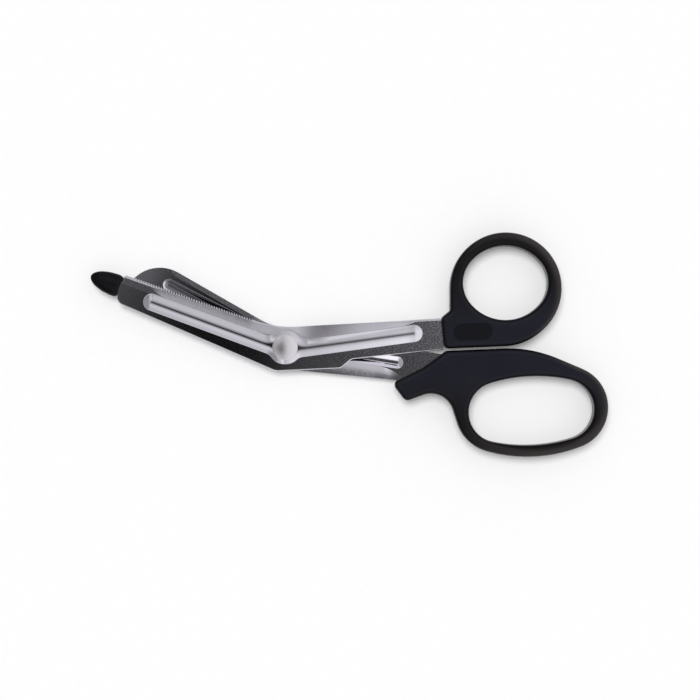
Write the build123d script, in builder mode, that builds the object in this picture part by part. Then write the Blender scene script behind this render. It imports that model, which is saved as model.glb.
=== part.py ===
from build123d import *
import os
from math import atan, atan2, cos, degrees, radians, sin, sqrt, tan

# Bandage scissors lying flat and closed: two pressed steel blades on one rivet, a moulded handle
# on each tang and a blunt plastic tip on the longer blade.
# Millimetres and degrees. The pivot axis is Z through the origin, z = 0 is the surface the scissors
# lie on, +X runs from the pivot to the handles and +Y to the thumb ring.
# A line in plan is (angle from +X, offset): it passes the pivot axis at that offset, on its left.

# Sheet and pressing
sheet_thickness = 1.6
blade_gap = 0.05
rib_width = 5.8
rib_height = 1.0
rib_draft = 55.0
rib_foot_radius = 0.6
rib_crest_radius = 4.2
groove_floor_radius = 0.5
groove_rim_radius = 0.4
rib_bend_radius = 14.0
boss_radius = 5.9
boss_blend_radius = 4.0
edge_break = 0.3
neck_round = 0.9

# Front blade, which carries the thumb ring and the blunt tip
front_edge_angle = -19.4
front_edge_offset = 5.4
front_spine_angle = -23.4
front_spine_offset = -9.15
front_heel_angle = 2.6
front_heel_offset = -8.3
front_shank_edge_angle = 3.4
front_shank_edge_offset = 7.1
front_shank_spine_angle = 6.1
front_shank_spine_offset = -6.7
front_heel_length = 19.4
front_step_length = 3.6
front_step_radius = 2.6
front_heel_radius = 4.0
front_neck_radius = 40.0
front_end_angle = 159.3
front_end_reach = 62.5
front_end_round_share = 0.31
front_corner_radius = 1.2
front_rib_angle = -20.2
front_rib_offset = -1.3
front_rib_end_margin = 12.5
front_rib_shank_angle = 7.7
front_rib_shank_offset = -1.25
front_rib_handle_margin = 10.0
front_tang_angle = 1.5
front_tang_offset = 3.4

# Back blade, which carries the finger loop
back_edge_angle = -26.5
back_edge_offset = -5.0
back_spine_angle = -29.8
back_spine_offset = 4.13
back_shank_edge_angle = -5.5
back_shank_edge_offset = -7.76
back_shank_spine_angle = -9.6
back_shank_spine_offset = 6.85
back_tip_angle = 42.0
back_tip_setback = 8.2
back_tip_shoulder_radius = 13.0
back_tip_radius = 1.8
back_neck_radius = 26.0
back_heel_start = -2.5
back_edge_end = -9.0
back_heel_radius = 3.0
back_rib_angle = -27.5
back_rib_offset = 0.55
back_rib_end_margin = 10.1
back_rib_shank_angle = -8.6
back_rib_shank_offset = 0.6
back_rib_handle_margin = 5.6
back_tang_angle = -8.0
back_tang_offset = -0.1

# Ground faces: a steep bevel at each cutting edge, hollow faces beside the ribs of the front blade and
# of both shanks, a shallow face along the back spine
edge_face_slope = 9.0
edge_face_wheel = 35.0
edge_face_margin = 17.0
edge_face_end = -13.0
front_shank_face_slope = 8.5
front_shank_face_wheel = 120.0
front_shank_face_start = 13.5
front_shank_face_end = 42.0
back_shank_face_slope = 12.0
back_shank_face_wheel = 30.0
back_shank_face_start = 14.0
back_shank_face_end = 33.0
hollow_run_out_radius = 100.0
bevel_width = 0.95
edge_land = 0.65
front_bevel_end = -14.0
back_bevel_end = -18.5
spine_face_width = 1.7
spine_face_depth = 0.11
spine_face_end = -10.0
grinding_wheel_radius = 30.0
tooth_pitch = 0.95
tooth_width = 0.78
tooth_depth = 0.52
tooth_length = 1.1
tooth_slant = 25.0
teeth_margin = 1.4

# Tangs in the handles and the tongue in the tip
tang_width = 6.4
tang_length = 18.0
tang_corner_radius = 2.0
tang_hole_radius = 1.5
tang_hole_places = (6.0, 13.0)
tongue_width_share = 0.4
tongue_length = 6.5
tongue_shift = 0.45
tongue_corner_radius = 1.5
tongue_hole_radius = 0.9
tongue_hole_place = 3.4

# Rivet
rivet_radius = 2.0
rivet_fit = 0.05
rivet_head_radius = 4.5
rivet_head_rim = 0.6
rivet_head_height = 1.6
rivet_rim_break = 0.25
rivet_tail_radius = 3.7
rivet_foot_radius = 2.6
rivet_tail_rim = 0.6

# Safety tip
tip_length = 11.1
tip_width = 8.0
tip_thickness = 4.8
tip_shoulder = 1.6
tip_collar_width = 6.8
tip_collar_break = 0.5

# Handles
handle_thickness = 9.0
handle_edge_radius = 1.7
handle_corner_flat = 0.4
oval_end_share = 0.88
handle_split_angle = 2.4
handle_split_offset = -3.25
handle_gap = 0.8

# Thumb ring
thumb_front_angle = 95.3
thumb_front_offset = -56.0
thumb_hole_centre = (78.2, 22.85)
thumb_hole_length = 30.1
thumb_hole_width = 26.3
thumb_ring_wall = 4.75
thumb_ring_shift = (0.1, -1.9)
thumb_step_angle = 39.0
thumb_step_radius = 1.2
thumb_heel_normal = -50.0
thumb_heel_radius = 20.0
pad_centre = (66.5, 5.5)
pad_length = 13.8
pad_width = 6.0
pad_angle = 3.5
pad_depth = 0.4

# Finger loop
finger_hole_centre = (87.35, -22.5)
finger_hole_length = 44.4
finger_hole_width = 24.4
finger_tilt = 2.7
finger_end_wall = 4.9
finger_side_wall = 4.7
finger_ring_shift = (0.15, 0.6)
finger_front_angle = 26.3
finger_front_offset = -28.1
finger_shoulder_angle = 36.0
finger_shoulder_offset = -34.6
finger_front_radius = 20.0
finger_spur_end_angle = 127.0
finger_spur_end_offset = -22.6
finger_spur_angle = 20.2
finger_spur_offset = -32.8
finger_rest_radius = 8.2
finger_rest_normal = 198.0
finger_back_normal = 67.0
finger_back_radius = 45.0

# Worked out from the sizes above
split_z = handle_thickness / 2
front_inner = Plane.XY.offset(split_z + blade_gap / 2)
front_outer = front_inner.offset(sheet_thickness)
back_inner = Plane.XY.offset(split_z - blade_gap / 2)
back_outer = back_inner.offset(-sheet_thickness)
groove_inset = sheet_thickness * tan(radians(rib_draft / 2))
foot_share = tan(radians(90 - rib_draft) / 2)
rib_reach = rib_width / 2 + rib_foot_radius * foot_share
groove_reach = rib_width / 2 - groove_inset + groove_rim_radius * foot_share
handle_corner_radius = handle_edge_radius + handle_corner_flat
same_place = 0.01
front_edge_line = (front_edge_angle, front_edge_offset)
front_spine_line = (front_spine_angle, front_spine_offset)
front_heel_line = (front_heel_angle, front_heel_offset)
front_shank_edge_line = (front_shank_edge_angle, front_shank_edge_offset)
front_shank_spine_line = (front_shank_spine_angle, front_shank_spine_offset)
front_rib_line = (front_rib_angle, front_rib_offset)
front_rib_shank_line = (front_rib_shank_angle, front_rib_shank_offset)
front_tang_line = (front_tang_angle, front_tang_offset)
back_edge_line = (back_edge_angle, back_edge_offset)
back_spine_line = (back_spine_angle, back_spine_offset)
back_shank_edge_line = (back_shank_edge_angle, back_shank_edge_offset)
back_shank_spine_line = (back_shank_spine_angle, back_shank_spine_offset)
back_tip_line = (back_tip_angle, front_end_reach - back_tip_setback)
back_rib_line = (back_rib_angle, back_rib_offset)
back_rib_shank_line = (back_rib_shank_angle, back_rib_shank_offset)
back_tang_line = (back_tang_angle, back_tang_offset)
handle_split_line = (handle_split_angle, handle_split_offset)
thumb_front_line = (thumb_front_angle, thumb_front_offset)
finger_front_line = (finger_front_angle, finger_front_offset)
finger_shoulder_line = (finger_shoulder_angle, finger_shoulder_offset)
finger_spur_end_line = (finger_spur_end_angle, finger_spur_end_offset)
finger_spur_line = (finger_spur_angle, finger_spur_offset)


def unit(angle):
    """Direction in plan at an angle from +X."""
    return Vector(cos(radians(angle)), sin(radians(angle)), 0)


def along(line, station):
    """Point of a line at a station, counted from the foot of the pivot axis on it."""
    return unit(line[0]) * station + unit(line[0] + 90) * line[1]


def beside(line, shift):
    """The same line moved to its left."""
    return (line[0], line[1] + shift)


def through(point, angle):
    """Line through a point at an angle."""
    return (angle, Vector(point).dot(unit(angle + 90)))


def tangent_line(centre, radius, normal):
    """Line that touches a circle where its outward normal has an angle."""
    return beside(through(centre, normal - 90), radius)


def meet(first, second):
    """Point where two lines cross."""
    a, b = radians(first[0]), radians(second[0])
    x = (first[1] * cos(b) - second[1] * cos(a)) / sin(b - a)
    y = (first[1] * sin(b) - second[1] * sin(a)) / sin(b - a)
    return Vector(x, y, 0)


def station_of(line, point):
    """Station of a point along a line."""
    return Vector(point).dot(unit(line[0]))


class Oval:
    """Oval of two end arcs and two flatter side arcs, tangent all round."""

    def __init__(self, centre, tilt, length, width):
        self.end_radius = oval_end_share * width / 2
        reach = length / 2 - self.end_radius
        depth = width / 2 - self.end_radius
        drop = (reach**2 - depth**2) / (2 * depth)
        self.side_radius = width / 2 + drop
        self.spread = degrees(atan2(reach, drop))
        self.tilt = tilt
        self.right = Vector(centre) + unit(tilt) * reach
        self.left = Vector(centre) - unit(tilt) * reach
        self.top_centre = Vector(centre) - unit(tilt + 90) * drop
        self.bottom_centre = Vector(centre) + unit(tilt + 90) * drop

    def end_arc(self, centre, start, stop):
        """Arc of one end, between two angles in plan."""
        return CenterArc(centre, self.end_radius, start, stop - start)

    def top_arc(self):
        """The whole side arc above the centre."""
        start = self.tilt + 90 - self.spread
        return CenterArc(self.top_centre, self.side_radius, start, 2 * self.spread)

    def bottom_arc(self):
        """The whole side arc below the centre."""
        start = self.tilt + 270 - self.spread
        return CenterArc(self.bottom_centre, self.side_radius, start, 2 * self.spread)

    def whole(self):
        """All four arcs."""
        self.top_arc()
        self.end_arc(self.left, self.tilt + 90 + self.spread, self.tilt + 270 - self.spread)
        self.bottom_arc()
        self.end_arc(self.right, self.tilt - 90 + self.spread, self.tilt + 90 - self.spread)


def rib_outline(plane, path_points, inset):
    """Plan of a pressed rib that bends at the pivot and widens there into a round boss."""
    with BuildLine() as path:
        FilletPolyline(*path_points, radius=rib_bend_radius)
    with BuildSketch(plane) as outline:
        SlotArc(path.wire(), rib_width)
        Circle(boss_radius)
        on_boss = [v for v in outline.vertices() if abs(Vector(v.X, v.Y).length - boss_radius) < same_place]
        fillet(on_boss, boss_blend_radius)
        if inset:
            offset(amount=-inset)
    return outline.sketch


def edges_from(sketch, part):
    """Edges of a part that lie on the edges of a sketch."""
    centres = [edge.center() for edge in sketch.edges()]
    return [e for e in part.edges() if any((e.center() - c).length < same_place for c in centres)]


def edges_at(part, level):
    """Edges of a part at a height."""
    return part.edges().filter_by_position(Axis.Z, level - same_place, level + same_place)


def edges_on(part, level, lines):
    """Edges of a part at a height that lie on lines in plan."""
    return [
        e for e in edges_at(part, level).filter_by(GeomType.LINE)
        if any(abs(through(e.center(), angle)[1] - shift) < same_place for angle, shift in lines)
    ]


def edge_plane(line, level, up, angle):
    """Plane across a ground face that starts on a line: x along the line, y out of the face."""
    inward = unit(line[0] - 90 * up)
    rise = inward * cos(angle) + Vector(0, 0, up) * sin(angle)
    return Plane(along(line, 0) + Vector(0, 0, level), x_dir=unit(line[0]), z_dir=rise)


def ground_face(line, base, up, start, stop, edge_height, width):
    """Cutter for a flat face ground along a line by a wheel that lifts out at both ends.

    The metal lies right of the line where its outer side faces up, and left of it where that faces down.
    """
    angle = atan((sheet_thickness - edge_height) / width)
    lift = sheet_thickness
    run_out = sqrt(lift * (2 * grinding_wheel_radius - lift))
    across = width + sheet_thickness
    with BuildPart() as cutter:
        with BuildSketch(edge_plane(line, base.origin.Z + up * edge_height, up, angle)):
            with BuildLine():
                Line((start, 0), (stop, 0))
                TangentArc((stop, 0), (stop + run_out, lift), tangent=(1, 0))
                Line((stop + run_out, lift), (start - run_out, lift))
                TangentArc((start, 0), (start - run_out, lift), tangent=(-1, 0))
            make_face()
        extrude(amount=across, both=True)
        with BuildSketch(base):
            with Locations(along(line, (start + stop) / 2)):
                Rectangle(stop - start + 2 * run_out, 2 * across, rotation=line[0])
        extrude(amount=up * sheet_thickness, mode=Mode.INTERSECT)
    return cutter.part


def hollow_face(line, side, base, start, stop, slope, wheel_radius):
    """Cutter for a hollow face on the upper side of a sheet, ground by a wheel that lifts out at both ends.

    The face begins on a line with a slope down to its left (side 1) or right (side -1) and grows flatter.
    """
    surface = base.origin.Z + sheet_thickness
    lift = sheet_thickness
    run_out = sqrt(lift * (2 * hollow_run_out_radius - lift))
    outward = unit(line[0] + 90 * side)
    upward = outward * sin(radians(slope)) + Vector(0, 0, cos(radians(slope)))
    hub = along(line, 0) + Vector(0, 0, surface) + upward * wheel_radius
    rim = wheel_radius - lift
    with BuildPart() as cutter:
        with BuildSketch(Plane(hub, x_dir=unit(line[0]), z_dir=unit(line[0]).cross(-upward))):
            with BuildLine():
                Line((start, wheel_radius), (stop, wheel_radius))
                TangentArc((stop, wheel_radius), (stop + run_out, rim), tangent=(1, 0))
                Line((stop + run_out, rim), (start - run_out, rim))
                TangentArc((start, wheel_radius), (start - run_out, rim), tangent=(-1, 0))
            make_face()
        revolve(axis=Axis(hub, unit(line[0])))
        with BuildSketch(base):
            with Locations(along(line, (start + stop) / 2)):
                Rectangle(stop - start + 2 * run_out, 2 * wheel_radius, rotation=line[0])
        extrude(amount=sheet_thickness, mode=Mode.INTERSECT)
    return cutter.part


# Front blade
collar_line = (front_end_angle - 90, front_end_reach)
front_end_top = meet(collar_line, front_edge_line)
front_end_bottom = meet(collar_line, front_spine_line)
front_end_width = (front_end_top - front_end_bottom).length
tongue_origin = (front_end_top + front_end_bottom) / 2 + unit(front_end_angle - 90) * tongue_shift
tongue_line = through(tongue_origin, front_end_angle - 180)
tongue_width = tongue_width_share * front_end_width
tongue_end_line = beside(collar_line, tongue_length)
tongue_top = beside(tongue_line, tongue_width / 2)
tongue_bottom = beside(tongue_line, -tongue_width / 2)
front_tang_end = beside(thumb_front_line, -tang_length)
front_tang_top = beside(front_tang_line, tang_width / 2)
front_tang_bottom = beside(front_tang_line, -tang_width / 2)
front_neck = meet(front_edge_line, front_shank_edge_line)
front_outline = [
    (meet(collar_line, tongue_top), 0),
    (front_end_top, front_corner_radius),
    (front_neck, front_neck_radius),
    (meet(front_shank_edge_line, thumb_front_line), 0),
    (meet(thumb_front_line, front_tang_top), 0),
    (meet(front_tang_end, front_tang_top), tang_corner_radius),
    (meet(front_tang_end, front_tang_bottom), tang_corner_radius),
    (meet(thumb_front_line, front_tang_bottom), 0),
    (meet(thumb_front_line, front_shank_spine_line), 0),
    (along(front_shank_spine_line, front_heel_length + front_step_length), front_step_radius),
    (along(front_heel_line, front_heel_length), front_step_radius),
    (meet(front_heel_line, front_spine_line), front_heel_radius),
    (front_end_bottom, front_end_round_share * front_end_width),
    (meet(collar_line, tongue_bottom), 0),
    (meet(tongue_end_line, tongue_bottom), tongue_corner_radius),
    (meet(tongue_end_line, tongue_top), tongue_corner_radius),
]
front_rib = (
    meet(front_rib_line, beside(collar_line, -front_rib_end_margin)),
    meet(front_rib_line, front_rib_shank_line),
    meet(front_rib_shank_line, beside(thumb_front_line, front_rib_handle_margin)),
)
front_tip_station = station_of(front_edge_line, front_end_top)
front_bevel_angle = atan((sheet_thickness - edge_land) / bevel_width)
tooth_angle = front_bevel_angle + atan(tooth_depth / tooth_length)
tooth_plane = edge_plane(front_edge_line, front_inner.origin.Z + edge_land, 1, tooth_angle)
tooth_direction = tooth_plane.z_dir.rotate(Axis(tooth_plane.origin, tooth_plane.y_dir), tooth_slant)
tooth_sweep = tooth_length / cos(radians(tooth_slant))
tooth_count = int((front_bevel_end - front_tip_station - teeth_margin) / tooth_pitch)
front_tang_origin = meet(thumb_front_line, front_tang_line)

with BuildPart() as front_blade:
    with BuildSketch(front_inner):
        with BuildLine():
            FilletPolyline([p for p, _ in front_outline], radius=[r for _, r in front_outline], close=True)
        make_face()
    extrude(amount=sheet_thickness)
    rim_lines = [front_spine_line, front_heel_line, front_shank_spine_line]
    fillet(edges_on(front_blade, front_outer.origin.Z, rim_lines), edge_break)
    fillet(edges_on(front_blade, front_outer.origin.Z, [front_shank_edge_line]), neck_round)
    rib = rib_outline(front_outer, front_rib, 0)
    extrude(rib, amount=rib_height, taper=rib_draft)
    fillet(front_blade.edges().group_by(Axis.Z)[-1], rib_crest_radius)
    fillet(edges_from(rib, front_blade), rib_foot_radius)
    groove = rib_outline(front_inner, front_rib, groove_inset)
    extrude(groove, amount=rib_height, taper=rib_draft, mode=Mode.SUBTRACT)
    fillet(edges_at(front_blade, front_inner.origin.Z + rib_height), groove_floor_radius)
    fillet(edges_from(groove, front_blade), groove_rim_radius)
    add(
        hollow_face(
            beside(front_rib_line, rib_reach), 1, front_inner, front_tip_station + edge_face_margin,
            edge_face_end, edge_face_slope, edge_face_wheel,
        ),
        mode=Mode.SUBTRACT,
    )
    add(
        ground_face(
            front_edge_line, front_inner, 1, front_tip_station, front_bevel_end, edge_land, bevel_width,
        ),
        mode=Mode.SUBTRACT,
    )
    add(
        hollow_face(
            beside(front_rib_shank_line, rib_reach), 1, front_inner, front_shank_face_start,
            front_shank_face_end, front_shank_face_slope, front_shank_face_wheel,
        ),
        mode=Mode.SUBTRACT,
    )
    with BuildSketch(tooth_plane):
        for number in range(tooth_count):
            with Locations((front_tip_station + teeth_margin + (number + 0.5) * tooth_pitch, -tooth_depth)):
                Polygon((0, 0), (tooth_width, 2 * tooth_depth), (-tooth_width, 2 * tooth_depth), align=None)
    extrude(amount=tooth_sweep, dir=tooth_direction, both=True, mode=Mode.SUBTRACT)
    with BuildSketch(front_inner):
        Circle(rivet_radius)
        with Locations(*[front_tang_origin + unit(front_tang_line[0]) * d for d in tang_hole_places]):
            Circle(tang_hole_radius)
        with Locations(tongue_origin + unit(front_end_angle) * tongue_hole_place):
            Circle(tongue_hole_radius)
    extrude(amount=sheet_thickness + rib_height, mode=Mode.SUBTRACT)
front_blade.part.label = "front_blade"

# Back blade, pressed the other way
finger_elbow = meet(finger_front_line, finger_shoulder_line)
back_tang_end = through(finger_elbow + unit(back_tang_line[0]) * tang_length, back_tang_line[0] + 90)
back_tang_top = beside(back_tang_line, tang_width / 2)
back_tang_bottom = beside(back_tang_line, -tang_width / 2)
back_outline = [
    (meet(back_spine_line, back_tip_line), back_tip_shoulder_radius),
    (meet(back_spine_line, back_shank_spine_line), back_neck_radius),
    (meet(back_shank_spine_line, finger_shoulder_line), 0),
    (meet(finger_shoulder_line, back_tang_top), 0),
    (meet(back_tang_end, back_tang_top), tang_corner_radius),
    (meet(back_tang_end, back_tang_bottom), tang_corner_radius),
    (meet(finger_front_line, back_tang_bottom), 0),
    (meet(finger_front_line, back_shank_edge_line), 0),
    (along(back_shank_edge_line, back_heel_start), back_heel_radius),
    (along(back_edge_line, back_edge_end), back_heel_radius),
    (meet(back_edge_line, back_tip_line), back_tip_radius),
]
back_rib = (
    meet(back_rib_line, beside(back_tip_line, -back_rib_end_margin)),
    meet(back_rib_line, back_rib_shank_line),
    meet(back_rib_shank_line, beside(finger_front_line, back_rib_handle_margin)),
)
back_tip_station = station_of(back_edge_line, meet(back_edge_line, back_tip_line))
back_shoulder_reach = back_tip_shoulder_radius * tan(radians(back_tip_line[0] - back_spine_line[0]) / 2)
back_spine_start = station_of(back_spine_line, meet(back_spine_line, back_tip_line)) + back_shoulder_reach

with BuildPart() as back_blade:
    with BuildSketch(back_inner):
        with BuildLine():
            FilletPolyline([p for p, _ in back_outline], radius=[r for _, r in back_outline], close=True)
        make_face()
    extrude(amount=-sheet_thickness)
    fillet(edges_on(back_blade, back_outer.origin.Z, [back_spine_line]), edge_break)
    rib = rib_outline(back_outer, back_rib, 0)
    extrude(rib, amount=-rib_height, taper=rib_draft)
    fillet(back_blade.edges().group_by(Axis.Z)[0], rib_crest_radius)
    fillet(edges_from(rib, back_blade), rib_foot_radius)
    groove = rib_outline(back_inner, back_rib, groove_inset)
    extrude(groove, amount=-rib_height, taper=rib_draft, mode=Mode.SUBTRACT)
    fillet(edges_at(back_blade, back_inner.origin.Z - rib_height), groove_floor_radius)
    fillet(edges_from(groove, back_blade), groove_rim_radius)
    add(
        ground_face(back_edge_line, back_inner, -1, back_tip_station, back_bevel_end, edge_land, bevel_width),
        mode=Mode.SUBTRACT,
    )
    add(
        hollow_face(
            beside(back_rib_shank_line, -groove_reach), -1, back_outer, back_shank_face_start,
            back_shank_face_end, back_shank_face_slope, back_shank_face_wheel,
        ),
        mode=Mode.SUBTRACT,
    )
    add(
        ground_face(
            back_spine_line, back_outer, 1, back_spine_start, spine_face_end,
            sheet_thickness - spine_face_depth, spine_face_width,
        ),
        mode=Mode.SUBTRACT,
    )
    with BuildSketch(back_inner):
        Circle(rivet_radius + rivet_fit)
        with Locations(*[finger_elbow + unit(back_tang_line[0]) * d for d in tang_hole_places]):
            Circle(tang_hole_radius)
    extrude(amount=-(sheet_thickness + rib_height), mode=Mode.SUBTRACT)
back_blade.part.label = "back_blade"

# Pivot rivet: domed head on the front boss, shank through both blades, upset tail under the back one
head_seat = front_outer.origin.Z + rib_height
tail_seat = back_outer.origin.Z - rib_height - rivet_fit
tail_rim_z = tail_seat - rivet_tail_rim
head_top = head_seat + rivet_head_height
head_rim_z = head_seat + rivet_head_rim

with BuildPart() as pivot_rivet:
    with BuildSketch(Plane.XZ):
        with BuildLine():
            Line((0, 0), (rivet_foot_radius, 0))
            RadiusArc((rivet_foot_radius, 0), (rivet_tail_radius, tail_rim_z), -rivet_tail_radius)
            Polyline(
                (rivet_tail_radius, tail_rim_z),
                (rivet_tail_radius, tail_seat),
                (rivet_radius, tail_seat),
                (rivet_radius, head_seat),
                (rivet_head_radius, head_seat),
                (rivet_head_radius, head_rim_z),
            )
            TangentArc((0, head_top), (rivet_head_radius, head_rim_z), tangent=(1, 0))
            Line((0, head_top), (0, 0))
        make_face()
    revolve(axis=Axis.Z)
    fillet(edges_at(pivot_rivet, head_rim_z), rivet_rim_break)
pivot_rivet.part.label = "pivot_rivet"

# Thumb handle, moulded round the tang of the front blade
thumb_hole = Oval(thumb_hole_centre, 0, thumb_hole_length, thumb_hole_width)
thumb_ring_centre = Vector(thumb_hole_centre) + Vector(thumb_ring_shift)
thumb_ring_radius = thumb_hole_length / 2 + thumb_ring_wall
thumb_bottom_line = beside(handle_split_line, handle_gap / 2)
thumb_heel_line = tangent_line(thumb_ring_centre, thumb_ring_radius, thumb_heel_normal)
thumb_left_line = tangent_line(thumb_ring_centre, thumb_ring_radius, 180)
thumb_block_top = meet(thumb_front_line, front_shank_edge_line)

with BuildPart() as thumb_handle:
    with BuildSketch():
        with BuildLine():
            CenterArc(thumb_ring_centre, thumb_ring_radius, thumb_heel_normal, 180 - thumb_heel_normal)
            FilletPolyline(
                thumb_ring_centre + unit(180) * thumb_ring_radius,
                meet(thumb_left_line, through(thumb_block_top, thumb_step_angle)),
                thumb_block_top,
                meet(thumb_front_line, thumb_bottom_line),
                meet(thumb_heel_line, thumb_bottom_line),
                thumb_ring_centre + unit(thumb_heel_normal) * thumb_ring_radius,
                radius=(thumb_step_radius, handle_corner_radius, handle_corner_radius, thumb_heel_radius),
            )
        make_face()
        with BuildLine():
            thumb_hole.whole()
        make_face(mode=Mode.SUBTRACT)
    extrude(amount=handle_thickness)
    fillet(thumb_handle.faces().filter_by(Axis.Z).edges(), handle_edge_radius)
    with BuildSketch(Plane.XY.offset(handle_thickness)):
        with Locations(pad_centre):
            SlotOverall(pad_length, pad_width, rotation=pad_angle)
    extrude(amount=-pad_depth, mode=Mode.SUBTRACT)
    add(front_blade.part, mode=Mode.SUBTRACT)
thumb_handle.part.label = "thumb_handle"

# Finger handle, moulded round the tang of the back blade
finger_hole = Oval(finger_hole_centre, finger_tilt, finger_hole_length, finger_hole_width)
finger_ring = Oval(
    Vector(finger_hole_centre) + Vector(finger_ring_shift), finger_tilt,
    finger_hole_length + 2 * finger_end_wall, finger_hole_width + 2 * finger_side_wall,
)
finger_top_line = beside(handle_split_line, -handle_gap / 2)
finger_rest_line = tangent_line(finger_ring.left, finger_ring.end_radius, finger_rest_normal)
finger_back_line = tangent_line(finger_ring.right, finger_ring.end_radius, finger_back_normal)

with BuildPart() as finger_handle:
    with BuildSketch():
        with BuildLine():
            finger_ring.end_arc(finger_ring.left, finger_rest_normal, finger_tilt + 270 - finger_ring.spread)
            finger_ring.bottom_arc()
            finger_ring.end_arc(finger_ring.right, finger_tilt - 90 + finger_ring.spread, finger_back_normal)
            FilletPolyline(
                finger_ring.right + unit(finger_back_normal) * finger_ring.end_radius,
                meet(finger_back_line, finger_top_line),
                meet(finger_top_line, finger_shoulder_line),
                finger_elbow,
                meet(finger_front_line, finger_spur_end_line),
                meet(finger_spur_end_line, finger_spur_line),
                meet(finger_spur_line, finger_rest_line),
                finger_ring.left + unit(finger_rest_normal) * finger_ring.end_radius,
                radius=(
                    finger_back_radius, handle_corner_radius, finger_front_radius, handle_corner_radius,
                    handle_corner_radius, finger_rest_radius,
                ),
            )
        make_face()
        with BuildLine():
            finger_hole.whole()
        make_face(mode=Mode.SUBTRACT)
    extrude(amount=handle_thickness)
    fillet(finger_handle.faces().filter_by(Axis.Z).edges(), handle_edge_radius)
    add(back_blade.part, mode=Mode.SUBTRACT)
finger_handle.part.label = "finger_handle"

# Safety tip: a flattened bullet on the tongue of the front blade
with BuildPart() as bullet:
    with BuildSketch():
        with BuildLine():
            nose = EllipticalCenterArc(
                (tip_shoulder, 0), tip_length - tip_shoulder, tip_width / 2, start_angle=0, arc_size=90
            )
            TangentArc(nose @ 1, (0, tip_collar_width / 2), tangent=(-1, 0))
            Polyline((0, tip_collar_width / 2), (0, 0), (tip_length, 0))
        make_face()
    revolve(axis=Axis.X)
    scale(by=(1, 1, tip_thickness / tip_width))
    fillet(bullet.edges().group_by(Axis.X)[0], tip_collar_break)

with BuildPart() as safety_tip:
    tip_origin = tongue_origin + Vector(0, 0, front_inner.origin.Z + sheet_thickness / 2)
    with Locations(Location(tip_origin, (0, 0, front_end_angle))):
        add(bullet.part)
    add(front_blade.part, mode=Mode.SUBTRACT)
safety_tip.part.label = "safety_tip"

os.makedirs("parts", exist_ok=True)
for piece in (front_blade, back_blade, pivot_rivet, thumb_handle, finger_handle, safety_tip):
    export_step(piece.part, f"parts/{piece.part.label}.step")
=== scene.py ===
from math import cos, pi, radians, sin

import bpy
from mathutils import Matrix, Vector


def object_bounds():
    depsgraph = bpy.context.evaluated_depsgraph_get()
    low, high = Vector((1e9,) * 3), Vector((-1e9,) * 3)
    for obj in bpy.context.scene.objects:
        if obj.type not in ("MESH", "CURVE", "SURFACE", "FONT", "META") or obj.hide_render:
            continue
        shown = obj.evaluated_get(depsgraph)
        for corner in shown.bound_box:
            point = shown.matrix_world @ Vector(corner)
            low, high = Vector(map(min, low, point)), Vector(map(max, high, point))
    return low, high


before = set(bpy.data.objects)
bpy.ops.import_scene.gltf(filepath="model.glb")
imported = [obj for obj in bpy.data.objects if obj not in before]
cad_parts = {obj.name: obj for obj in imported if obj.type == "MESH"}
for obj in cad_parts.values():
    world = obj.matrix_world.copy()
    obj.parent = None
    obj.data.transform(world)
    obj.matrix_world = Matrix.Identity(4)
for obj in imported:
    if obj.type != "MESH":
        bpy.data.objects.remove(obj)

cad_low, cad_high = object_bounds()
MM = 0.001

# The photograph looks straight down: a pixel is 0.356 mm at mid thickness, the pivot is at pixel
# (285.3, 347.3) and the picture is 700 pixels wide.
PIXEL = 0.356 * MM
PICTURE_SIDE = 700
PIVOT_PIXEL = (285.3, 347.3)
CAMERA_HEIGHT = 0.7

# The handles are the thickest pieces, so the part's height is theirs.
MID_THICKNESS = (cad_low[2] + cad_high[2]) / 2
HANDLE_HALF = (cad_high[2] - cad_low[2]) / 2

# Strips in plan: the angle of a line through the pivot axis, and two distances to the left of it in mm.
DRAWN_STRIP = (-8.0, 3.5, 14.0)
PAINTED_SHADE_STRIP = (7.7, 1.7, 14.0)

# The groove of each blade is this deep.
GROOVE_DEPTH = 1.0 * MM

# Changes of the blades' tone along X, which paint highlight and shade on the steel: where a change starts
# and is complete, in mm, and its factor. Each blade gives its own factors for the level sheet.
SHANK_PAINTED_HIGHLIGHT = (12, 40, 1.3)
PAINTED_HIGHLIGHT_ENDS = (43, 46, 0.8)
SHANK_PAINTED_SHADE = (12, 40)
TIP_PAINTED_LIGHT = (-40, -48)

# Brightness of the tent overhead: degrees from the middle of its opening, and the level there. Its
# cloth is a little cool: blue is stronger than red and green by the tint.
COOL_TINT = 1.03
OPENING_TILT = -4.1
OPENING_LEVELS = (
    (0.0, 0.008), (1.8, 0.01), (2.7, 0.1), (4.0, 0.1), (6.5, 0.15), (9.0, 0.26), (12.0, 0.45),
    (18.0, 0.8), (40.0, 0.95),
)


def linear(code):
    """Linear colour of an sRGB hex code."""
    parts = [int(code[i:i + 2], 16) / 255 for i in (1, 3, 5)]
    return [p / 12.92 if p <= 0.04045 else ((p + 0.055) / 1.055) ** 2.4 for p in parts] + [1.0]


def per_mm(size):
    """Scale of a pattern whose marks have a size in millimetres, on coordinates in metres."""
    return 1 / (size * MM)


def add_node(tree, kind, inputs=None, **settings):
    """Adds a node with its settings; an input is a plain value or the socket that feeds it."""
    made = tree.nodes.new(kind)
    for name, value in settings.items():
        setattr(made, name, value)
    for name, value in (inputs or {}).items():
        if isinstance(value, bpy.types.NodeSocket):
            tree.links.new(value, made.inputs[name])
        else:
            made.inputs[name].default_value = value
    return made


def new_material(name):
    """An empty node material: itself, its tree, and the object's own coordinates in metres."""
    material = bpy.data.materials.new(name)
    material.use_nodes = True
    tree = material.node_tree
    tree.nodes.clear()
    return material, tree, add_node(tree, "ShaderNodeTexCoord").outputs["Object"]


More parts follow.
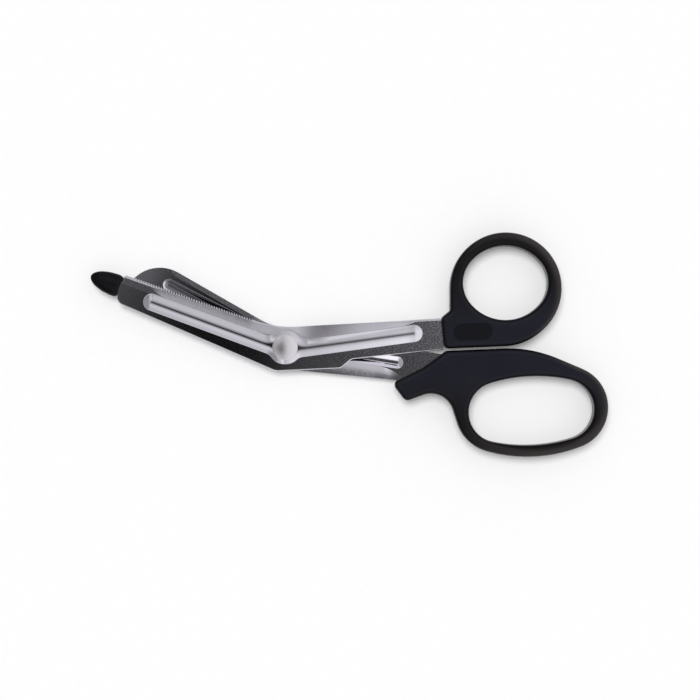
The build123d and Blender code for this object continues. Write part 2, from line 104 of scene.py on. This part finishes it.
def strip_mask(tree, place, strip, soft, inside=1.0):
    """A value inside a strip in plan and 0 outside it, with edges of a softness in millimetres."""
    angle, low, high = strip
    to_left = (-sin(radians(angle)), cos(radians(angle)), 0)
    distance = add_node(
        tree, "ShaderNodeVectorMath", {0: place, 1: to_left}, operation="DOT_PRODUCT"
    ).outputs["Value"]
    above = add_node(
        tree, "ShaderNodeMapRange",
        {"Value": distance, "From Min": (low - soft) * MM, "From Max": (low + soft) * MM, "To Max": inside},
    ).outputs["Result"]
    return add_node(
        tree, "ShaderNodeMapRange",
        {"Value": distance, "From Min": (high + soft) * MM, "From Max": (high - soft) * MM, "To Max": above},
    ).outputs["Result"]


def level_sheet(tree, height_z, normal_z):
    """1 on level faces, 0 on sloping ones and on the crest of the front rib, above 6.3 mm."""
    upright = add_node(tree, "ShaderNodeMath", {0: normal_z}, operation="ABSOLUTE").outputs[0]
    level = add_node(
        tree, "ShaderNodeMapRange", {"Value": upright, "From Min": 0.99, "From Max": 0.998}
    ).outputs["Result"]
    return add_node(
        tree, "ShaderNodeMapRange",
        {"Value": height_z, "From Min": 6.5 * MM, "From Max": 6.3 * MM, "To Max": level},
    ).outputs["Result"]


def satin_and_painted_shade(tree, place, along_x):
    """Two masks of the sheet near the boss: satin where the press has drawn it, painted shade past it."""
    in_plan = add_node(
        tree, "ShaderNodeVectorMath", {0: place, 1: (1, 1, 0)}, operation="MULTIPLY"
    ).outputs["Vector"]
    from_axis = add_node(tree, "ShaderNodeVectorMath", {0: in_plan}, operation="LENGTH").outputs["Value"]
    near_boss = add_node(
        tree, "ShaderNodeMapRange", {"Value": from_axis, "From Min": 16 * MM, "From Max": 12 * MM}
    ).outputs["Result"]
    satin = strip_mask(tree, place, DRAWN_STRIP, soft=0.4, inside=near_boss)

    # A patch of painted shade on the sheet past the boss.
    past_boss = add_node(
        tree, "ShaderNodeMapRange", {"Value": along_x, "From Min": 4 * MM, "From Max": 11 * MM},
        interpolation_type="SMOOTHSTEP",
    ).outputs["Result"]
    before_shank = add_node(
        tree, "ShaderNodeMapRange",
        {"Value": along_x, "From Min": 26 * MM, "From Max": 12 * MM, "To Max": past_boss},
    ).outputs["Result"]
    painted_shade_patch = strip_mask(tree, place, PAINTED_SHADE_STRIP, soft=0.6, inside=before_shank)
    return satin, painted_shade_patch


def painted_groove_shade(tree, place, normal, strip, floor, opens):
    """Mask of the painted shade in the groove of a blade, where the steel is also rougher.

    The floor is at a height in mm, and the groove opens upwards (1) or downwards (-1). The painted shade
    covers the floor, and the left side up to the rim.
    """
    axes = add_node(tree, "ShaderNodeSeparateXYZ", {"Vector": place})
    normal_z = add_node(tree, "ShaderNodeSeparateXYZ", {"Vector": normal}).outputs["Z"]
    above_floor = add_node(
        tree, "ShaderNodeMath", {0: axes.outputs["Z"], 1: floor * MM}, operation="SUBTRACT"
    ).outputs[0]
    from_floor = add_node(tree, "ShaderNodeMath", {0: above_floor}, operation="ABSOLUTE").outputs[0]
    near_floor = add_node(
        tree, "ShaderNodeMapRange",
        {"Value": from_floor, "From Min": 0.75 * GROOVE_DEPTH, "From Max": 0.5 * GROOVE_DEPTH},
    ).outputs["Result"]

    to_right = (sin(radians(strip[0])), -cos(radians(strip[0])), 0)
    facing_right = add_node(
        tree, "ShaderNodeVectorMath", {0: normal, 1: to_right}, operation="DOT_PRODUCT"
    ).outputs["Value"]
    left_side = add_node(
        tree, "ShaderNodeMapRange", {"Value": facing_right, "From Min": 0.03, "From Max": 0.2}
    ).outputs["Result"]
    shaded_faces = add_node(tree, "ShaderNodeMath", {0: near_floor, 1: left_side}, operation="MAXIMUM").outputs[0]

    inside_rim = add_node(
        tree, "ShaderNodeMapRange",
        {"Value": from_floor, "From Min": 1.04 * GROOVE_DEPTH, "From Max": GROOVE_DEPTH, "To Max": shaded_faces},
    ).outputs["Result"]
    past_boss = add_node(
        tree, "ShaderNodeMapRange",
        {"Value": axes.outputs["X"], "From Min": -6 * MM, "From Max": -12 * MM, "To Max": inside_rim},
    ).outputs["Result"]
    facing_out = add_node(
        tree, "ShaderNodeMapRange",
        {"Value": normal_z, "From Min": 0.2 * opens, "From Max": 0.4 * opens, "To Max": past_boss},
    ).outputs["Result"]
    return strip_mask(tree, place, strip, soft=0.1, inside=facing_out)


def tone_along(tree, along_x, changes):
    """A tone that changes along X: product of the changes, each from 1 to its own factor."""
    tone = 1.0
    for start, end, factor in changes:
        change = add_node(
            tree, "ShaderNodeMapRange",
            {"Value": along_x, "From Min": start * MM, "From Max": end * MM, "To Min": 1.0, "To Max": factor},
        ).outputs["Result"]
        tone = add_node(tree, "ShaderNodeMath", {0: tone, 1: change}, operation="MULTIPLY").outputs[0]
    return tone


def blade_steel(name, ground_strip, ground_end, line_stretch, scoring, ground_shade, faded_strip, fade,
                groove_strip, groove_floor, groove_opens, shank_painted_shade, tip_painted_light):
    """Stainless sheet: polished blade with one coarser ground strip, shank pebbled by the tumbler."""
    material, tree, place = new_material(name)
    axes = add_node(tree, "ShaderNodeSeparateXYZ", {"Vector": place})
    along_x = axes.outputs["X"]
    normal = add_node(tree, "ShaderNodeNewGeometry").outputs["Normal"]
    normal_z = add_node(tree, "ShaderNodeSeparateXYZ", {"Vector": normal}).outputs["Z"]

    # Tumbling pebble is about 0.1 mm; it is drawn at 0.55 mm so that it shows in the picture. It fades
    # out past the pivot, and only the level sheet keeps it: ribs and hollow faces are worn smooth.
    pebble = add_node(
        tree, "ShaderNodeTexNoise",
        {"Vector": place, "Scale": per_mm(0.55), "Detail": 3.0, "Roughness": 0.65},
    ).outputs["Fac"]
    tumbled = add_node(
        tree, "ShaderNodeMapRange",
        {"Value": along_x, "From Min": -2 * MM, "From Max": 30 * MM, "To Min": 0.12},
    ).outputs["Result"]
    on_sheet = level_sheet(tree, axes.outputs["Z"], normal_z)
    pitted = add_node(tree, "ShaderNodeMath", {0: tumbled, 1: on_sheet}, operation="MULTIPLY").outputs[0]

    # Grinding marks are drawn 0.5 mm wide so that they show. A stretch below 1 draws them out along Y,
    # roughly across the strip. The ground strip ends softly near the pivot.
    lay = add_node(
        tree, "ShaderNodeMapping",
        {"Vector": place, "Rotation": (0, 0, radians(-ground_strip[0])), "Scale": (1.0, line_stretch, 1.0)},
    ).outputs["Vector"]
    marks = add_node(
        tree, "ShaderNodeTexNoise", {"Vector": lay, "Scale": per_mm(0.5), "Detail": 2.0}
    ).outputs["Fac"]
    on_blade = add_node(
        tree, "ShaderNodeMapRange",
        {"Value": along_x, "From Min": (ground_end + 6) * MM, "From Max": ground_end * MM},
    ).outputs["Result"]
    ground = strip_mask(tree, place, ground_strip, soft=0.1, inside=on_blade)

    satin, painted_shade_patch = satin_and_painted_shade(tree, place, along_x)
    groove_shade_mask = painted_groove_shade(tree, place, normal, groove_strip, groove_floor, groove_opens)

    # Pits look darker than high spots, on the tumbled sheet and to a share on the ground strip.
    scored = add_node(tree, "ShaderNodeMath", {0: ground, 1: scoring}, operation="MULTIPLY").outputs[0]
    marked = add_node(tree, "ShaderNodeMath", {0: pitted, 1: scored}, operation="MAXIMUM").outputs[0]
    pits = add_node(
        tree, "ShaderNodeMapRange",
        {"Value": pebble, "From Min": 0.36, "From Max": 0.64, "To Min": 0.58, "To Max": 1.42},
    ).outputs["Result"]
    speckle = add_node(
        tree, "ShaderNodeMix", {"Factor": marked, "A": 1.0, "B": pits}, data_type="FLOAT"
    ).outputs["Result"]

    # Ribs and ground faces of the shank get a painted highlight, brighter towards the handle, but not quite
    # up to it. The level sheet gets painted shade there, and a painted tone of its own at the tip.
    painted_highlight = tone_along(tree, along_x, (SHANK_PAINTED_HIGHLIGHT, PAINTED_HIGHLIGHT_ENDS))
    painted_sheet_light = tone_along(tree, along_x, ((*SHANK_PAINTED_SHADE, shank_painted_shade), (*TIP_PAINTED_LIGHT, tip_painted_light)))
    painted_light_tone = add_node(
        tree, "ShaderNodeMix", {"Factor": on_sheet, "A": painted_highlight, "B": painted_sheet_light}, data_type="FLOAT"
    ).outputs["Result"]
    shade = add_node(tree, "ShaderNodeMath", {0: speckle, 1: painted_light_tone}, operation="MULTIPLY").outputs[0]
    rough = add_node(
        tree, "ShaderNodeMapRange",
        {"Value": pebble, "From Min": 0.3, "From Max": 0.7, "To Min": 0.045, "To Max": 0.085},
    ).outputs["Result"]

    # Where the sheet isn't polished its roughness is greater by a sum. The ground strip is darker by a
    # factor, and the patch past the boss and the groove get painted shade by a factor.
    for mask, darker, rougher in (
        (ground, ground_shade, 0.12), (satin, 1.0, 0.38), (painted_shade_patch, 0.55, 0.0), (groove_shade_mask, 0.32, 0.2),
    ):
        tone = add_node(
            tree, "ShaderNodeMapRange", {"Value": mask, "To Min": 1.0, "To Max": darker}
        ).outputs["Result"]
        shade = add_node(tree, "ShaderNodeMath", {0: shade, 1: tone}, operation="MULTIPLY").outputs[0]
        rough = add_node(
            tree, "ShaderNodeMath", {0: mask, 1: rougher, 2: rough}, operation="MULTIPLY_ADD"
        ).outputs[0]

    # The tone of the steel drifts a little, over about 9 mm.
    cloud = add_node(
        tree, "ShaderNodeTexNoise", {"Vector": place, "Scale": per_mm(9.0), "Detail": 3.0}
    ).outputs["Fac"]
    steel = add_node(
        tree, "ShaderNodeMix",
        {"Factor": cloud, "A": linear("#c2bfc6"), "B": linear("#d2d0d5")}, data_type="RGBA",
    ).outputs["Result"]
    colour = add_node(
        tree, "ShaderNodeVectorMath", {0: steel, "Scale": shade}, operation="SCALE"
    ).outputs["Vector"]

    # Polishing has flattened a hollow face by some share, and rounded it over at one end: its tilt
    # fades out along X.
    start, end, flattened = fade
    fading = add_node(
        tree, "ShaderNodeMapRange",
        {"Value": along_x, "From Min": start * MM, "From Max": end * MM, "To Min": flattened},
        interpolation_type="SMOOTHSTEP",
    ).outputs["Result"]
    facing_up = add_node(
        tree, "ShaderNodeMapRange", {"Value": normal_z, "From Min": 0.5, "From Max": 0.7, "To Max": fading}
    ).outputs["Result"]
    faded = strip_mask(tree, place, faded_strip, soft=0.1, inside=facing_up)
    leaning = add_node(
        tree, "ShaderNodeMix", {"Factor": faded, "A": normal, "B": (0, 0, 1)}, data_type="VECTOR"
    ).outputs["Result"]
    rounded = add_node(tree, "ShaderNodeVectorMath", {0: leaning}, operation="NORMALIZE").outputs["Vector"]

    pebbled = add_node(
        tree, "ShaderNodeBump",
        {"Height": pebble, "Strength": pitted, "Distance": 0.022 * MM, "Normal": rounded},
    ).outputs["Normal"]
    lined = add_node(
        tree, "ShaderNodeBump",
        {"Height": marks, "Strength": ground, "Distance": 0.012 * MM, "Normal": pebbled},
    ).outputs["Normal"]
    surface = add_node(
        tree, "ShaderNodeBsdfPrincipled",
        {"Base Color": colour, "Metallic": 1.0, "Roughness": rough, "Normal": lined},
    ).outputs["BSDF"]
    add_node(tree, "ShaderNodeOutputMaterial", {"Surface": surface})
    return material


def rivet_steel():
    """Steel rivet, turned and tumbled: satin, with faint turning rings round its axis."""
    material, tree, place = new_material("steel_turned_satin")
    # Turning rings and pebble are finer on a real rivet: they are drawn 2.5 mm apart and 0.5 mm wide so
    # that they show. The rings of the pattern at scale 1 are 2 pi / 20 units apart.
    rings = add_node(
        tree, "ShaderNodeTexWave",
        {"Vector": place, "Scale": 2 * pi / 20 * per_mm(2.5), "Distortion": 0.4, "Detail": 1.0},
        wave_type="RINGS", rings_direction="Z",
    ).outputs["Fac"]
    pebble = add_node(
        tree, "ShaderNodeTexNoise", {"Vector": place, "Scale": per_mm(0.5), "Detail": 3.0}
    ).outputs["Fac"]
    ring_share = 0.3
    height = add_node(
        tree, "ShaderNodeMath", {0: rings, 1: ring_share, 2: pebble}, operation="MULTIPLY_ADD"
    ).outputs[0]

    # The head was struck a little flat and askew, so the light on its dome sits off the middle.
    normal = add_node(tree, "ShaderNodeNewGeometry").outputs["Normal"]
    flattened = add_node(
        tree, "ShaderNodeVectorMath", {0: normal, 1: (0.75, 0.5, 1)}, operation="MULTIPLY"
    ).outputs["Vector"]
    leaning = add_node(
        tree, "ShaderNodeVectorMath", {0: flattened, 1: (0.09, 0.02, 0)}, operation="ADD"
    ).outputs["Vector"]
    askew = add_node(tree, "ShaderNodeVectorMath", {0: leaning}, operation="NORMALIZE").outputs["Vector"]
    bump = add_node(
        tree, "ShaderNodeBump", {"Height": height, "Strength": 0.12, "Distance": 0.01 * MM, "Normal": askew}
    ).outputs["Normal"]

    rough = add_node(
        tree, "ShaderNodeMapRange",
        {"Value": pebble, "From Min": 0.3, "From Max": 0.7, "To Min": 0.2, "To Max": 0.3},
    ).outputs["Result"]
    surface = add_node(
        tree, "ShaderNodeBsdfPrincipled",
        {"Base Color": linear("#cbc8ca"), "Metallic": 1.0, "Roughness": rough, "Normal": bump},
    ).outputs["BSDF"]
    add_node(tree, "ShaderNodeOutputMaterial", {"Surface": surface})
    return material


def moulded_plastic(name, sheen_flat_colour, shaded_edge_colour, loop_centre, loop_half):
    """Black polypropylene, injection moulded: grained flats with painted sheen, smoother edges, painted rim
    highlight.
    """
    material, tree, place = new_material(name)
    axes = add_node(tree, "ShaderNodeSeparateXYZ", {"Vector": place})
    above_middle = add_node(
        tree, "ShaderNodeMath", {0: axes.outputs["Z"], 1: MID_THICKNESS}, operation="SUBTRACT"
    ).outputs[0]
    from_middle = add_node(tree, "ShaderNodeMath", {0: above_middle}, operation="ABSOLUTE").outputs[0]
    from_gap = add_node(tree, "ShaderNodeMath", {0: axes.outputs["Y"]}, operation="ABSOLUTE").outputs[0]
    normal = add_node(tree, "ShaderNodeNewGeometry").outputs["Normal"]
    normal_z = add_node(tree, "ShaderNodeSeparateXYZ", {"Vector": normal}).outputs["Z"]
    upright = add_node(tree, "ShaderNodeMath", {0: normal_z}, operation="ABSOLUTE").outputs[0]
    rounded = add_node(
        tree, "ShaderNodeMapRange", {"Value": upright, "From Min": 0.99, "From Max": 0.9}
    ).outputs["Result"]

    # The flats are a little bluish, with a painted sheen that makes them lighter than the rounded edges,
    # whose dark is painted shade; far from the gap between the handles the flats are a darker, warmer black.
    on_flat = add_node(
        tree, "ShaderNodeMapRange",
        {"Value": from_middle, "From Min": HANDLE_HALF - 0.6 * MM, "From Max": HANDLE_HALF - 0.05 * MM},
        interpolation_type="SMOOTHSTEP",
    ).outputs["Result"]
    outer_wall = add_node(
        tree, "ShaderNodeMapRange", {"Value": from_gap, "From Min": 10 * MM, "From Max": 26 * MM}
    ).outputs["Result"]
    flat_sheen_tone = add_node(
        tree, "ShaderNodeMix",
        {"Factor": outer_wall, "A": linear(sheen_flat_colour), "B": linear("#100e10")}, data_type="RGBA",
    ).outputs["Result"]
    painted_sheen_body = add_node(
        tree, "ShaderNodeMix",
        {"Factor": on_flat, "A": linear(shaded_edge_colour), "B": flat_sheen_tone}, data_type="RGBA",
    ).outputs["Result"]

    # The rim gets a painted highlight, paler outside an oval that runs along the middle of the loop's wall,
    # more so far from the pivot.
    centre = (loop_centre[0] * MM, loop_centre[1] * MM, 0)
    from_loop = add_node(
        tree, "ShaderNodeVectorMath", {0: place, 1: centre}, operation="SUBTRACT"
    ).outputs["Vector"]
    in_halves = add_node(
        tree, "ShaderNodeVectorMath",
        {0: from_loop, 1: (per_mm(loop_half[0]), per_mm(loop_half[1]), 0)}, operation="MULTIPLY",
    ).outputs["Vector"]
    reach = add_node(tree, "ShaderNodeVectorMath", {0: in_halves}, operation="LENGTH").outputs["Value"]
    on_rim = add_node(
        tree, "ShaderNodeMapRange",
        {"Value": from_gap, "From Min": 3 * MM, "From Max": 7 * MM, "To Max": rounded},
    ).outputs["Result"]
    wall_share = 0.8
    on_wall = add_node(
        tree, "ShaderNodeMath", {0: outer_wall, 1: wall_share}, operation="MULTIPLY"
    ).outputs[0]
    highlight_faces = add_node(tree, "ShaderNodeMath", {0: on_rim, 1: on_wall}, operation="MAXIMUM").outputs[0]
    outside_oval = add_node(
        tree, "ShaderNodeMapRange", {"Value": reach, "From Min": 0.97, "From Max": 1.05, "To Max": highlight_faces}
    ).outputs["Result"]
    rim_highlight = add_node(
        tree, "ShaderNodeMapRange",
        {"Value": axes.outputs["X"], "From Min": 62 * MM, "From Max": 88 * MM, "To Max": outside_oval},
    ).outputs["Result"]
    # The colour of the painted highlight on the rim.
    with_rim_highlight = add_node(
        tree, "ShaderNodeMix", {"Factor": rim_highlight, "A": painted_sheen_body, "B": linear("#353130")}, data_type="RGBA"
    ).outputs["Result"]
    cloud = add_node(
        tree, "ShaderNodeTexNoise", {"Vector": place, "Scale": per_mm(14.0), "Detail": 2.0}
    ).outputs["Fac"]
    shade = add_node(
        tree, "ShaderNodeMapRange",
        {"Value": cloud, "From Min": 0.3, "From Max": 0.7, "To Min": 0.85, "To Max": 1.12},
    ).outputs["Result"]
    colour = add_node(
        tree, "ShaderNodeVectorMath", {0: with_rim_highlight, "Scale": shade}, operation="SCALE"
    ).outputs["Vector"]

    # Spark-eroded grain is about 0.2 mm; it is drawn at 0.5 mm so that it shows in the picture. The two
    # mould halves meet at mid thickness in a line about 0.25 mm wide.
    grain = add_node(
        tree, "ShaderNodeTexNoise",
        {"Vector": place, "Scale": per_mm(0.5), "Detail": 3.0, "Roughness": 0.6},
    ).outputs["Fac"]
    seam = add_node(
        tree, "ShaderNodeMapRange",
        {"Value": from_middle, "From Min": 0.05 * MM, "From Max": 0.2 * MM, "To Min": 1.0, "To Max": 0.0},
    ).outputs["Result"]
    grain_share = 0.25
    height = add_node(
        tree, "ShaderNodeMath", {0: grain, 1: grain_share, 2: seam}, operation="MULTIPLY_ADD"
    ).outputs[0]
    bump = add_node(
        tree, "ShaderNodeBump", {"Height": height, "Strength": 0.25, "Distance": 0.05 * MM}
    ).outputs["Normal"]

    # Rounded edges are a little smoother than the flats, and catch less light.
    rough = add_node(
        tree, "ShaderNodeMapRange", {"Value": rounded, "To Min": 0.3, "To Max": 0.24}
    ).outputs["Result"]
    gloss = add_node(
        tree, "ShaderNodeMapRange", {"Value": rounded, "To Min": 0.15, "To Max": 0.1}
    ).outputs["Result"]
    surface = add_node(
        tree, "ShaderNodeBsdfPrincipled",
        {"Base Color": colour, "IOR": 1.49, "Roughness": rough, "Specular IOR Level": gloss, "Normal": bump},
    ).outputs["BSDF"]
    add_node(tree, "ShaderNodeOutputMaterial", {"Surface": surface})
    return material


def seen_or_mirrored(tree):
    """1 for what the camera sees, straight or in metal, 0 for light that falls on things."""
    ray = add_node(tree, "ShaderNodeLightPath").outputs
    mirrored = add_node(
        tree, "ShaderNodeMath", {0: ray["Is Glossy Ray"], 1: ray["Is Transmission Ray"]}, operation="MAXIMUM"
    ).outputs[0]
    return add_node(
        tree, "ShaderNodeMath", {0: ray["Is Camera Ray"], 1: mirrored}, operation="MAXIMUM"
    ).outputs[0]


def paper_white():
    """Matt white studio paper; an eighth of what is seen of it is plain white, so shadows stay light."""
    material, tree, place = new_material("studio_paper_white")
    cloud = add_node(
        tree, "ShaderNodeTexNoise", {"Vector": place, "Scale": per_mm(3.0), "Detail": 2.0}
    ).outputs["Fac"]
    tone = add_node(
        tree, "ShaderNodeMix",
        {"Factor": cloud, "A": linear("#f9f9f9"), "B": linear("#fcfcfc")}, data_type="RGBA",
    ).outputs["Result"]
    paper = add_node(tree, "ShaderNodeBsdfDiffuse", {"Color": tone}).outputs["BSDF"]
    white = add_node(tree, "ShaderNodeEmission", {"Strength": 1.0}).outputs["Emission"]
    plain_white = 0.12
    share = add_node(
        tree, "ShaderNodeMath", {0: seen_or_mirrored(tree), 1: plain_white}, operation="MULTIPLY"
    ).outputs[0]
    surface = add_node(tree, "ShaderNodeMixShader", {"Fac": share, 1: paper, 2: white}).outputs["Shader"]
    add_node(tree, "ShaderNodeOutputMaterial", {"Surface": surface})
    return material


def dress(node_name, material):
    """Gives a CAD node a finished material in place of its flat colour."""
    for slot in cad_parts[node_name].material_slots:
        slot.material = material


def tent():
    """A white tent round the table: pale walls, dimmer left and far, and a dark opening overhead."""
    world = bpy.data.worlds.new("studio_tent")
    bpy.context.scene.world = world
    world.use_nodes = True
    tree = world.node_tree
    tree.nodes.clear()
    direction = add_node(tree, "ShaderNodeTexCoord").outputs["Generated"]
    axes = add_node(tree, "ShaderNodeSeparateXYZ", {"Vector": direction})

    # The brightness goes by the angle from the middle of the opening, which sits a little to the left.
    to_opening = (sin(radians(OPENING_TILT)), 0, cos(radians(OPENING_TILT)))
    towards = add_node(
        tree, "ShaderNodeVectorMath", {0: direction, 1: to_opening}, operation="DOT_PRODUCT"
    ).outputs["Value"]
    angle = add_node(tree, "ShaderNodeMath", {0: towards}, operation="ARCCOSINE").outputs[0]
    widest = OPENING_LEVELS[-1][0]
    share = add_node(
        tree, "ShaderNodeMapRange", {"Value": angle, "From Max": radians(widest)}
    ).outputs["Result"]
    levels = add_node(tree, "ShaderNodeValToRGB", {"Fac": share})
    stops = levels.color_ramp.elements
    for number, (degrees_out, level) in enumerate(OPENING_LEVELS):
        place = degrees_out / widest
        stop = stops[number] if number < 2 else stops.new(place)
        stop.position = place
        stop.color = (level, level, level * COOL_TINT, 1)

    # The left wall and the far wall are dimmer; the edge of the opening is nearer and paler on the left.
    side = add_node(
        tree, "ShaderNodeMapRange",
        {"Value": axes.outputs["X"], "From Min": -0.55, "From Max": 0.3, "To Min": 0.26, "To Max": 1.2},
    ).outputs["Result"]
    left_edge = add_node(
        tree, "ShaderNodeMapRange",
        {"Value": axes.outputs["X"], "From Min": -0.08, "From Max": -0.115, "To Min": 1.0, "To Max": 1.8},
    ).outputs["Result"]
    far_wall = add_node(
        tree, "ShaderNodeMapRange",
        {"Value": axes.outputs["Y"], "From Min": 0.3, "From Max": 0.9, "To Min": 1.0, "To Max": 0.75},
    ).outputs["Result"]

    # The tent is seen, and mirrored in the steel, at full strength; most of the light is the lamp's.
    given = add_node(
        tree, "ShaderNodeMix", {"Factor": seen_or_mirrored(tree), "A": 0.5, "B": far_wall}, data_type="FLOAT"
    ).outputs["Result"]
    walls = add_node(tree, "ShaderNodeMath", {0: side, 1: left_edge}, operation="MULTIPLY").outputs[0]
    strength = add_node(tree, "ShaderNodeMath", {0: walls, 1: given}, operation="MULTIPLY").outputs[0]
    light = add_node(
        tree, "ShaderNodeBackground", {"Color": levels.outputs["Color"], "Strength": strength}
    ).outputs["Background"]
    add_node(tree, "ShaderNodeOutputWorld", {"Surface": light})


def lamp():
    """A large soft lamp on the far side, which throws the shadow towards the picture's lower edge."""
    data = bpy.data.lights.new("far_soft_lamp", "SUN")
    data.energy = 2.0
    data.angle = radians(27)
    made = bpy.data.objects.new("far_soft_lamp", data)
    made.rotation_euler = (radians(-12.5), radians(-6), 0)
    made.visible_glossy = False
    bpy.context.scene.collection.objects.link(made)


def table():
    """The pale table the scissors lie on."""
    bpy.ops.mesh.primitive_plane_add(size=8.0, location=(0, 0, 0))
    paper = bpy.context.object
    paper.name = "table_paper"
    paper.data.materials.append(paper_white())


def camera():
    """The photograph's view: straight down, with the picture's top towards +Y."""
    data = bpy.data.cameras.new("camera")
    data.lens = data.sensor_width * CAMERA_HEIGHT / (PICTURE_SIDE * PIXEL)
    made = bpy.data.objects.new("camera", data)
    middle = PICTURE_SIDE / 2
    made.location = (
        (middle - PIVOT_PIXEL[0]) * PIXEL,
        (PIVOT_PIXEL[1] - middle) * PIXEL,
        MID_THICKNESS + CAMERA_HEIGHT,
    )
    bpy.context.scene.collection.objects.link(made)
    bpy.context.scene.camera = made


bpy.ops.object.select_all(action="DESELECT")
bpy.context.scene.view_settings.view_transform = "Standard"
camera()
tent()
lamp()
table()

# The front blade's ground strip lies between rib and cutting edge; its groove is on the underside.
dress("front_blade", blade_steel(
    "stainless_front_blade",
    ground_strip=(-19.4, 2.0, 5.4), ground_end=-12.0, line_stretch=0.08, scoring=0.25, ground_shade=0.85,
    faded_strip=(-19.4, 2.5, 4.4), fade=(-43, -50, 0.0),
    groove_strip=(-20.2, -3.5, 1.15), groove_floor=5.525, groove_opens=-1, shank_painted_shade=0.9, tip_painted_light=0.7,
))
# The back blade's ground strip lies along the spine; its groove is on the upper side.
dress("back_blade", blade_steel(
    "stainless_back_blade",
    ground_strip=(-29.8, 2.4, 4.2), ground_end=-9.0, line_stretch=1.0, scoring=0.75, ground_shade=0.45,
    faded_strip=(-8.6, -9.0, -1.7), fade=(35, 44, 0.08),
    groove_strip=(-27.5, -1.65, 3.0), groove_floor=3.475, groove_opens=1, shank_painted_shade=0.65, tip_painted_light=1.5,
))
dress("pivot_rivet", rivet_steel())
dress("thumb_handle", moulded_plastic(
    "polypropylene_thumb", "#1a1b23", "#070709", loop_centre=(78.3, 21.0), loop_half=(17.4, 17.4)
))
dress("finger_handle", moulded_plastic(
    "polypropylene_finger", "#1a1b23", "#070709", loop_centre=(87.5, -21.9), loop_half=(24.6, 14.5)
))
# The tip has no loop: it lies inside an oval as wide as this, so it gets no painted rim highlight.
dress("safety_tip", moulded_plastic(
    "polypropylene_tip", "#0a0a0c", "#08080a", loop_centre=(0, 0), loop_half=(200, 200)
))
